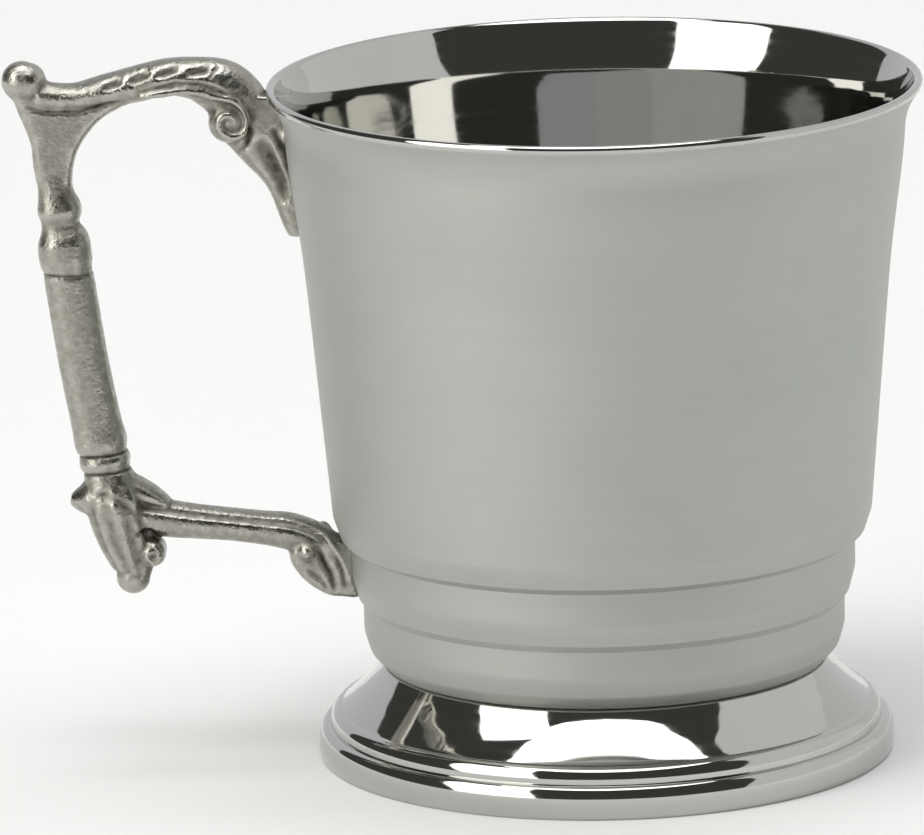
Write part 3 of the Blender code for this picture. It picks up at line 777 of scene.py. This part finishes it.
def make_polished():
    """Polished pewter: a mirror with hair-fine polishing rings and a breath of haze."""
    material, tree, shader = finish("polished_pewter", POLISHED_COLOUR, 0.05)
    rings = noise(tree, 10, stretch=(1, 1, 160), detail=5.0)
    tree.links.new(ranged(tree, rings, 0.35, 0.65, 0.035, 0.075), shader.inputs["Roughness"])
    cloud = noise(tree, 120, detail=2.0)
    tree.links.new(blended(tree, ranged(tree, cloud, 0.3, 0.7, 0, 1), POLISHED_COLOUR, POLISHED_SHADE),
                   shader.inputs["Base Color"])
    bumped(tree, shader, rings, 0.0015 * MM)
    return material


def make_cast():
    """Cast pewter: grainy and grey, dark with patina and painted shade in its hollows and cuts, and rubbed
    bright on its ridges and knobs.
    """
    material, tree, shader = finish("cast_pewter", CAST_COLOUR, 0.34)
    recess = tree.nodes.new("ShaderNodeAttribute")
    recess.attribute_name = "recess"
    mottle = noise(tree, 900, detail=5.0)
    mixed = tree.nodes.new("ShaderNodeMath")
    mixed.operation = "ADD"
    tree.links.new(recess.outputs["Fac"], mixed.inputs[0])
    tree.links.new(ranged(tree, mottle, 0.3, 0.7, -0.13, 0.13), mixed.inputs[1])
    depth = mixed.outputs[0]
    rubbed = blended(tree, ranged(tree, depth, 0.28, 0.50, 0, 1), CAST_WORN, CAST_COLOUR)
    # Darkens towards near-black in the hollows and cuts: antique patina there, and painted shade as well
    patina_and_shade = tree.nodes.new("ShaderNodeMix")
    patina_and_shade.data_type = "RGBA"
    patina_and_shade.inputs["B"].default_value = (*CAST_PATINA_AND_SHADE, 1)
    tree.links.new(rubbed, patina_and_shade.inputs["A"])
    tree.links.new(ranged(tree, depth, 0.54, 0.98, 0, 1), patina_and_shade.inputs["Factor"])
    tree.links.new(patina_and_shade.outputs["Result"], shader.inputs["Base Color"])
    tree.links.new(ranged(tree, depth, 0.30, 0.62, 0.20, 0.52), shader.inputs["Roughness"])
    bumped(tree, shader, noise(tree, 2000, detail=5.0), 0.105 * MM)
    return material


def make_camera():
    """The photograph's viewpoint: a long lens a little above the rim."""
    target = Vector((AXIS, 0, CAMERA_TARGET_HEIGHT))
    back = Vector((0, -math.cos(CAMERA_ELEVATION), math.sin(CAMERA_ELEVATION)))
    turned_view = back.to_track_quat("Z", "Y").to_matrix()
    turned_view @= Matrix.Rotation(-CAMERA_YAW, 3, "Y")
    turned_view @= Matrix.Rotation(CAMERA_PITCH, 3, "X")
    turned_view @= Matrix.Rotation(CAMERA_ROLL, 3, "Z")
    camera = bpy.data.objects.new("camera", bpy.data.cameras.new("camera"))
    camera.matrix_world = Matrix.Translation(target + back * CAMERA_DISTANCE) @ turned_view.to_4x4()
    camera.data.lens = CAMERA_LENS
    camera.data.sensor_width = SENSOR
    camera.data.clip_start = 0.1
    bpy.context.scene.collection.objects.link(camera)
    bpy.context.scene.camera = camera


def direction(azimuth, elevation):
    """The unit vector of a direction from the object: azimuth 90 is to the camera's right."""
    side = math.radians(azimuth)
    lift = math.radians(elevation)
    return Vector((math.cos(lift) * math.sin(side), -math.cos(lift) * math.cos(side), math.sin(lift)))


def stage_mesh(name, points, material):
    """One flat face of the studio."""
    mesh = bpy.data.meshes.new(name)
    mesh.from_pydata([tuple(point) for point in points], [], [range(len(points))])
    mesh.materials.append(material)
    stage = bpy.data.objects.new(name, mesh)
    bpy.context.scene.collection.objects.link(stage)
    return stage


def card(name, corners, colour, radiance):
    """A glowing card with its corners in these directions from the object; the camera doesn't see it."""
    glow = bpy.data.materials.new(name)
    glow.use_nodes = True
    tree = glow.node_tree
    tree.nodes.remove(tree.nodes["Principled BSDF"])
    light = tree.nodes.new("ShaderNodeEmission")
    light.inputs["Color"].default_value = (*colour, 1)
    light.inputs["Strength"].default_value = radiance
    tree.links.new(light.outputs[0], tree.nodes["Material Output"].inputs["Surface"])
    centre = Vector((AXIS, 0, CARD_HEIGHT))
    stage = stage_mesh(name, [centre + direction(*corner) * CARD_DISTANCE for corner in corners], glow)
    stage.visible_camera = False


def make_studio():
    """A pale floor in a dark room, with soft white cards round the object."""
    paint = bpy.data.materials.new("studio_floor")
    paint.use_nodes = True
    shader = paint.node_tree.nodes["Principled BSDF"]
    shader.inputs["Base Color"].default_value = (*FLOOR_COLOUR, 1)
    shader.inputs["Roughness"].default_value = 0.9
    shader.inputs["Specular IOR Level"].default_value = 0.0
    turns = [2 * math.pi * step / FLOOR_SIDES for step in range(FLOOR_SIDES)]
    stage_mesh("studio_floor", [(FLOOR_REACH * math.cos(turn), FLOOR_REACH * math.sin(turn), 0)
                                for turn in turns], paint)
    card("key_softbox", [(-28, -1), (-62, -1), (-97, 58), (-50, 67)], (1.0, 0.98, 0.94), KEY_RADIANCE)
    card("right_panel", [(55, -1), (135, -1), (135, 60), (93, 63)], (1.0, 1.0, 1.0), PANEL_RADIANCE)
    card("back_panel", [(135, -1), (178, -1), (178, 50), (135, 60)], (1.0, 1.0, 1.0), BACK_RADIANCE)
    card("left_back_panel", [(178, -1), (228, -1), (215, 45), (178, 50)], (0.95, 0.97, 1.0), BACK_RADIANCE)
    sides = [360 * step / TOP_SIDES for step in range(TOP_SIDES)]
    front = [max(0.0, math.cos(math.radians(side))) ** 2 for side in sides]
    card("top_softbox", [(side, TOP_EDGE + (TOP_EDGE_FRONT - TOP_EDGE) * share)
                         for side, share in zip(sides, front)], (1.0, 1.0, 1.0), TOP_RADIANCE)
    world = bpy.data.worlds.new("studio")
    world.use_nodes = True
    tree = world.node_tree
    dark = tree.nodes["Background"]
    dark.inputs["Color"].default_value = (*ROOM_COLOUR, 1)
    pale = tree.nodes.new("ShaderNodeBackground")
    pale.inputs["Color"].default_value = (*BACKDROP_COLOUR, 1)
    rays = tree.nodes.new("ShaderNodeLightPath")
    mix = tree.nodes.new("ShaderNodeMixShader")
    tree.links.new(rays.outputs["Is Camera Ray"], mix.inputs["Fac"])
    tree.links.new(dark.outputs[0], mix.inputs[1])
    tree.links.new(pale.outputs[0], mix.inputs[2])
    tree.links.new(mix.outputs[0], tree.nodes["World Output"].inputs["Surface"])
    bpy.context.scene.world = world
    bpy.context.scene.view_settings.view_transform = "Standard"


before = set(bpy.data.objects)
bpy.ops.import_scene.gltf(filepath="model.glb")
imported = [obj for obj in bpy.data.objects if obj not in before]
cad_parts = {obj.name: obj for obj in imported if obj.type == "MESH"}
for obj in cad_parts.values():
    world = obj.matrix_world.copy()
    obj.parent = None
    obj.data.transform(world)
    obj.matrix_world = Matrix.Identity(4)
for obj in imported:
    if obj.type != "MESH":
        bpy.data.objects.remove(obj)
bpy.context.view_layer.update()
foot_low, foot_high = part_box("foot")
AXIS = (foot_low.x + foot_high.x) / 2
make_camera()
satin_pewter = make_satin()
polished_pewter = make_polished()
cast_pewter = make_cast()
cup = make_cup(satin_pewter, polished_pewter)
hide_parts("cup")
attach(cup, "root")
foot = make_foot(polished_pewter)
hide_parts("foot")
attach(foot, "root")
handle = make_handle(cast_pewter)
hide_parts("handle")
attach(handle, "root")
make_studio()
